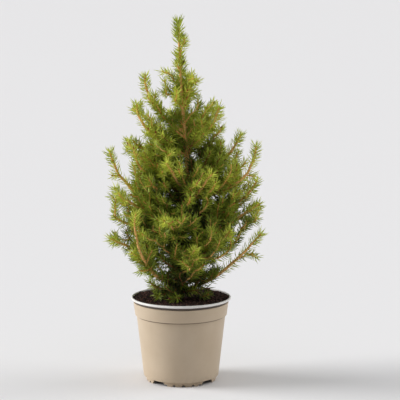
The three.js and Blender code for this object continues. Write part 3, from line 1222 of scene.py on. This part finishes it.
potForm = {
    "sides": 720,
    "wall": 0.0014,
    "footRadius": 0.0450,
    "footHeight": 0.0055,
    "bodyFoot": 0.0488,
    "step": 0.0864,
    "bodyTop": 0.0578,
    "collarFoot": 0.0598,
    "collarTop": 0.0618,
    "collarHeight": 0.1036,
    "notchTurns": (50, 140, 230, 320),   # degrees round, where the broad openings stand
    "notchHalf": 14,
    "notchSlope": 3.2,        # degrees over which its ends slope
    "notchHeight": 0.0048,
    "holeRadius": 0.0020,
    "cutBelow": 0.002,        # points of the outline below this are lifted by the openings
    "holeTurns": (-73, -61, -25, -11, 4.5, 20.5, 33, 60, 72),
}


def footCut(angle):
    degrees = math.degrees(angle) % 360
    cut = 0.0
    for turn in potForm["notchTurns"]:
        off = abs((degrees - turn + 180) % 360 - 180)
        rise = between((potForm["notchHalf"] - off) / potForm["notchSlope"], 0, 1)
        cut = max(cut, potForm["notchHeight"] * rise)
    for half in (270, 90):
        for turn in potForm["holeTurns"]:
            off = abs((degrees - half - turn + 180) % 360 - 180)
            across = math.radians(off) * potForm["footRadius"] / potForm["holeRadius"]
            if across < 1:
                cut = max(cut, potForm["holeRadius"] * 1.25 * math.sqrt(1 - across * across))
    return cut


# From the foot up the outside and back down the inside: radius, height, and whether the openings lift it.
def potOutline():
    wall, foot, low = potForm["wall"], potForm["footRadius"], potForm["footHeight"]
    bodyFoot, bodyTop, step = potForm["bodyFoot"], potForm["bodyTop"], potForm["step"]
    collarFoot, collarTop, top = potForm["collarFoot"], potForm["collarTop"], potForm["collarHeight"]
    rows = [(foot, 0.0), (foot + 0.0003, 0.0012), (foot + 0.0004, low - 0.0006), (foot + 0.0002, low),
            (bodyFoot - 0.0012, low + 0.0002), (bodyFoot - 0.0003, low + 0.0007), (bodyFoot, low + 0.0016)]
    for share in np.linspace(0.05, 0.98, 14):
        rows.append((mix(bodyFoot, bodyTop, share), mix(low + 0.0016, step, share)))
    rows += [(bodyTop - 0.0004, step - 0.0005), (bodyTop - 0.0003, step - 0.0001),
             (collarFoot - 0.0007, step + 0.0001), (collarFoot - 0.0001, step + 0.0005),
             (collarFoot, step + 0.0012)]
    for share in np.linspace(0.1, 0.95, 6):
        rows.append((mix(collarFoot, collarTop, share), mix(step + 0.0012, top, share)))
    rows += [(collarTop - 0.0001, top - 0.0003), (collarTop - 0.0006, top), (collarTop - wall, top),
             (collarFoot - wall, step + 0.001), (bodyTop - wall, step - 0.002),
             (bodyFoot - wall, low + 0.003), (0.0, low + 0.003), (0.0, low + 0.0008),
             (foot - wall, low + 0.0004), (foot - wall, 0.0012), (foot - wall, 0.0)]
    return [(radius, height, height < potForm["cutBelow"]) for radius, height in rows]


def makePotFinish():
    paint = {
        "clay": (0.555, 0.440, 0.310),
        "worn": (0.595, 0.480, 0.348),
        "stain": (0.480, 0.380, 0.280),
        # the line colour is painted shade, the dark band under the collar's overhang
        "line": (0.100, 0.066, 0.044),
        "inside": (0.050, 0.036, 0.026),
    }
    finish = Finish("potPlastic", Roughness=0.5, Specular_IOR_Level=0.4)
    x, y, z = finish.axes()
    drift = finish.grain(28, 3, 0.5)
    streaks = finish.grain(90, 3, 0.5, (1, 1, 0.12))
    specks = finish.grain(1400, 2, 0.5)
    body = finish.mixColour(drift.ramp(0.3, 0.7), paint["clay"], paint["worn"])
    low = 1 - z.ramp(0.002, 0.022)
    line = z.ramp(0.0850, 0.0856) - z.ramp(0.0863, 0.0868)     # painted shade: a dark band just under the collar's overhang, where its shadow falls
    dust = finish.grain(160, 4, 0.6).ramp(0.4, 0.7)
    dusty = (low * dust * 0.5 + streaks.ramp(0.56, 0.74) * 0.16).clamped()
    unshaded = finish.mixColour(dusty, body, paint["stain"])
    inside = 1 - ((x * x + y * y) ** 0.5).ramp(0.0437, 0.0441)
    # the painted shade under the collar is mixed in here
    collarShaded = finish.mixColour(line * 0.8, unshaded, paint["line"])
    finish.feed("Base Color", finish.mixColour(inside, collarShaded, paint["inside"]))
    finish.feed("Roughness", 0.42 + drift * 0.14 + dusty * 0.2)
    finish.relief(specks * 0.6 + streaks * 0.4, 0.00012, 0.35)
    return finish.material


def makePot():
    rows = potOutline()
    sides = potForm["sides"]
    vertices, faces = [], []
    for side in range(sides):
        angle = math.tau * side / sides
        cut = footCut(angle)
        for radius, height, lifted in rows:
            raised = max(height, cut) if lifted else height
            vertices.append((radius * math.cos(angle), radius * math.sin(angle), raised))
    count = len(rows)
    for side in range(sides):
        after = (side + 1) % sides
        for row in range(count):
            here, there, below = side * count, after * count, (row + 1) % count
            faces.append((here + row, there + row, there + below, here + below))
    piece = closePoles(newPiece("potBody", vertices, [], faces, makePotFinish()))
    smooth(piece, 28)
    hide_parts("pot")
    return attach(piece, "root")


def makeRim():
    form = {
        "outer": 0.0650,
        "inner": 0.0628,
        "top": 0.1100,
        "foot": 0.1069,
        "slope": 0.1079,          # height where its inside starts to slope in to the neck
        "neck": 0.0602,
        "neckInner": 0.0588,
        "neckTop": 0.1070,
        "neckFoot": 0.1034,
        "sides": 256,
        "steps": 12,              # of its rolled lip
    }
    finish = Finish("rimPlastic", Roughness=0.4, Specular_IOR_Level=0.45)
    drift = finish.grain(60, 3, 0.5)
    unshaded = finish.mixColour(drift.ramp(0.3, 0.7), (0.80, 0.775, 0.745), (0.86, 0.84, 0.815))
    lip = finish.axes()[2].ramp(0.1066, 0.1071)     # painted shade: the neck below the lip is coloured dark, as it lies in the dark
    # the dark brown here is painted shade on the neck under the lip
    finish.feed("Base Color", finish.mixColour(lip, (0.130, 0.100, 0.078), unshaded))
    finish.feed("Roughness", 0.36 + drift * 0.12)
    finish.relief(finish.grain(1200, 2), 0.0001, 0.3)
    outline = []
    roll = (form["top"] - form["foot"]) / 2
    for step in range(form["steps"] + 1):      # from the lip's underside round to its top
        angle = -math.pi / 2 + math.pi * step / form["steps"]
        across, rise = roll * math.cos(angle), roll * math.sin(angle)
        outline.append((form["outer"] - roll + across, form["foot"] + roll + rise))
    outline += [(form["inner"] + 0.0004, form["top"]), (form["inner"] + 0.0001, form["top"] - 0.0003),
                (form["inner"], form["top"] - 0.0009), (form["inner"], form["slope"]),
                (form["neckInner"], form["neckTop"]), (form["neckInner"], form["neckFoot"]),
                (form["neck"], form["neckFoot"]), (form["neck"], form["foot"] - 0.0007),
                (form["neck"] + 0.0006, form["foot"] - 0.0001)]
    vertices, faces = lathe(outline + outline[:1], form["sides"])
    piece = closePoles(newPiece("potRim", vertices, [], faces, finish.material))
    smooth(piece, 40)
    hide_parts("rim")
    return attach(piece, "root")


makePot()
makeRim()
say("pot made")


# The compost and its crumbs

crumbMaker = Maker("crumbs", {
    "Crumb": ("Object", None),
    "Per Area": ("Float", 100000.0),
    "Smallest": ("Float", 0.5),
    "Largest": ("Float", 1.5),
    "Seed": ("Int", 1),
    "Material": ("Material", None),
})


def buildCrumbMaker(maker):
    seed = maker.size("Seed")
    normal = maker.node("GeometryNodeInputNormal").outputs[0]
    upward = maker.sum("ShaderNodeSeparateXYZ", {}, {0: normal}, 2)
    scattered = maker.node("GeometryNodeDistributePointsOnFaces", {"distribute_method": "RANDOM"}, {
        "Mesh": maker.entry["Geometry"],
        "Selection": upward.math("GREATER_THAN", upward, 0.3),
        "Density": maker.size("Per Area"),
        "Seed": seed,
    }).outputs
    size = maker.chance(0.0, 1.0, seed + 1) ** 2.0
    size = maker.size("Smallest") + size * (maker.size("Largest") - maker.size("Smallest"))
    lying = maker.node("FunctionNodeRandomValue", {"data_type": "FLOAT_VECTOR"},
                       {0: (0.0, 0.0, 0.0), 1: (6.283, 6.283, 6.283), 8: seed + 2}).outputs[0]
    shape = maker.node("GeometryNodeObjectInfo", {}, {"Object": maker.size("Crumb")}).outputs["Geometry"]
    crumbs = maker.node("GeometryNodeInstanceOnPoints", {}, {
        "Points": scattered["Points"], "Instance": shape, "Rotation": lying, "Scale": size})
    maker.close(crumbs.outputs[0])


buildCrumbMaker(crumbMaker)


def makeSoilFinish(name, dark, light):
    finish = Finish(name, Roughness=0.9, Specular_IOR_Level=0.2)
    patches = finish.grain(420, 4, 0.65)
    finish.feed("Base Color", finish.mixColour(patches.ramp(0.35, 0.7), dark, light))
    finish.feed("Roughness", 0.82 + patches * 0.16)
    finish.relief(finish.grain(1300, 4, 0.65), 0.0006, 0.9)
    return finish.material


def makeCompost():
    soil = {
        "radius": 0.0625,
        "rings": 46,
        "sides": 150,
        "rough": 0.0010,
        "lumps": (0.7, 2.1, 5),           # of the noise: how it fades and closes up, and its octaves
        "lumpScale": 120,
        "dips": (0.0003, 0.0002),         # how far below the CAD's crown its middle and edge lie
        "skirt": ((0.0600, 0.1075), (0.0583, 0.1066)),     # in under the lip, clear of its neck
        "floorRadius": 0.0578,
        "depth": 0.0042,
    }
    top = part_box("compost")[1].z
    vertices, faces = [(0, 0, top - 0.0004)], []
    for ring in range(1, soil["rings"] + 1):
        share = ring / soil["rings"]
        for side in range(soil["sides"]):
            angle = math.tau * (side + 0.5 * (ring % 2)) / soil["sides"]
            x, y = soil["radius"] * share * math.cos(angle), soil["radius"] * share * math.sin(angle)
            lump = noise.fractal(Vector((x, y, 0)) * soil["lumpScale"], *soil["lumps"]) * soil["rough"]
            hump = mix(top - soil["dips"][0], top - soil["dips"][1], share ** 2)
            vertices.append((x, y, hump + lump))
    for side in range(soil["sides"]):
        faces.append((0, 1 + side, 1 + (side + 1) % soil["sides"]))
    for ring in range(soil["rings"] - 1):
        first, second = 1 + ring * soil["sides"], 1 + (ring + 1) * soil["sides"]
        for side in range(soil["sides"]):
            after = (side + 1) % soil["sides"]
            faces.append((first + side, second + side, second + after, first + after))
    edge = 1 + (soil["rings"] - 1) * soil["sides"]
    for radius, height in (*soil["skirt"], (soil["floorRadius"], top - soil["depth"])):
        base = len(vertices)
        for side in range(soil["sides"]):
            x, y, _ = vertices[edge + side]
            scale = radius / math.hypot(x, y)
            vertices.append((x * scale, y * scale, height))
        for side in range(soil["sides"]):
            after = (side + 1) % soil["sides"]
            faces.append((edge + side, base + side, base + after, edge + after))
        edge = base
    faces.append(tuple(reversed(range(base, base + soil["sides"]))))
    finish = makeSoilFinish("compostSoil", (0.016, 0.0085, 0.0063), (0.058, 0.030, 0.023))
    piece = newPiece("compostBed", vertices, [], faces, finish)
    smooth(piece)
    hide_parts("compost")
    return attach(piece, "root")


def makeCrumbs(bed):
    crumb = {"radius": 0.0009, "uneven": 0.5, "unevenScale": 3000, "wide": 1.25, "flat": 0.62, "seed": 3}
    kinds = {
        "crumbsDark": {"perArea": 150000.0, "size": (0.35, 1.5),
                       "colours": ((0.014, 0.008, 0.006), (0.040, 0.021, 0.016))},
        "crumbsBrown": {"perArea": 70000.0, "size": (0.35, 1.5),
                        "colours": ((0.085, 0.038, 0.030), (0.180, 0.085, 0.066))},
        "crumbsPale": {"perArea": 16000.0, "size": (0.3, 0.95),
                       "colours": ((0.17, 0.10, 0.07), (0.27, 0.19, 0.13))},
    }
    ball = bmesh.new()
    bmesh.ops.create_icosphere(ball, subdivisions=1, radius=crumb["radius"])
    for vertex in ball.verts:
        vertex.co *= 1 + crumb["uneven"] * noise.noise(vertex.co * crumb["unevenScale"])
        vertex.co.z *= crumb["flat"]
        vertex.co.x *= crumb["wide"]
    mesh = bpy.data.meshes.new("crumbShape")
    ball.to_mesh(mesh)
    ball.free()
    shape = bpy.data.objects.new("crumbShape", mesh)
    bpy.context.scene.collection.objects.link(shape)
    for index, (name, kind) in enumerate(kinds.items()):
        piece = bpy.data.objects.new(name, bed.data.copy())
        bpy.context.scene.collection.objects.link(piece)
        crumbMaker.run(piece, {
            "Crumb": shape,
            "Per Area": kind["perArea"],
            "Smallest": kind["size"][0],
            "Largest": kind["size"][1],
            "Seed": crumb["seed"] + index,
            "Material": makeSoilFinish(name, *kind["colours"]),
        })
        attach(piece, "root")
    bpy.data.objects.remove(shape)


makeCrumbs(makeCompost())
say("compost made")


# Floor, light and camera

studio = {
    "floorSize": 60.0,
    "floorTint": (0.800, 0.795, 0.805),
    "keyPower": 1.01,          # from the left
    "keyTilt": 24,             # degrees above the floor
    "keyTurn": 176,            # degrees round, from the right by way of the back
    "keySpread": 36,           # how soft it is, in degrees
    "fillPower": 0.40,         # from the right
    "fillTilt": 24,
    "fillTurn": 12,
    "fillSpread": 44,
    "skyLevel": 0.04,          # even light from all round
    "skyTop": 0.90,            # and from overhead
    "skyFrom": 0.45,           # how high that starts, from 0 level to 1 overhead
    "lens": 150.0,
    "cameraPlace": (0.0247, -2.125, 0.555),
    "cameraDip": 8.53,         # degrees below level
}


def makeFloor():
    half = studio["floorSize"] / 2
    finish = Finish("floorPaint", Roughness=0.85, Specular_IOR_Level=0.1)
    finish.shader.inputs["Base Color"].default_value = (*studio["floorTint"], 1)
    floor = newPiece("floor", [(-half, -half, 0), (half, -half, 0), (half, half, 0), (-half, half, 0)], [],
                     [(0, 1, 2, 3)], finish.material)


def makeSun(kind):
    light = bpy.data.lights.new(f"{kind}Light", "SUN")
    light.energy = studio[f"{kind}Power"] * math.pi
    light.angle = math.radians(studio[f"{kind}Spread"])
    lamp = bpy.data.objects.new(f"{kind}Light", light)
    bpy.context.scene.collection.objects.link(lamp)
    tilt, turn = math.radians(studio[f"{kind}Tilt"]), math.radians(studio[f"{kind}Turn"])
    level = math.cos(tilt)
    towards = Vector((level * math.cos(turn), level * math.sin(turn), math.sin(tilt)))
    lamp.rotation_euler = towards.to_track_quat("Z", "Y").to_euler()


def makeSky():
    world = bpy.data.worlds.new("studioSky")
    world.use_nodes = True
    bpy.context.scene.world = world
    board = NodeBoard(world.node_tree)
    direction = board.node("ShaderNodeTexCoord").outputs["Generated"]
    height = board.sum("ShaderNodeSeparateXYZ", {}, {0: direction}, 2)
    level = studio["skyLevel"] + height.ramp(studio["skyFrom"], 1.0) * studio["skyTop"]
    board.tree.links.new(level.socket, world.node_tree.nodes["Background"].inputs["Strength"])
    world.node_tree.nodes["Background"].inputs["Color"].default_value = (1, 1, 1, 1)


def makeCamera():
    camera = bpy.data.objects.new("camera", bpy.data.cameras.new("camera"))
    bpy.context.scene.collection.objects.link(camera)
    camera.data.lens = studio["lens"]
    camera.data.sensor_width = 36.0
    camera.data.clip_end = 200.0
    camera.location = studio["cameraPlace"]
    camera.rotation_euler = (math.radians(90 - studio["cameraDip"]), 0, 0)
    bpy.context.scene.camera = camera


makeFloor()
makeSun("key")
makeSun("fill")
makeSky()
makeCamera()
bpy.context.scene.view_settings.view_transform = "Standard"

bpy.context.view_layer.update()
say("scene ready")
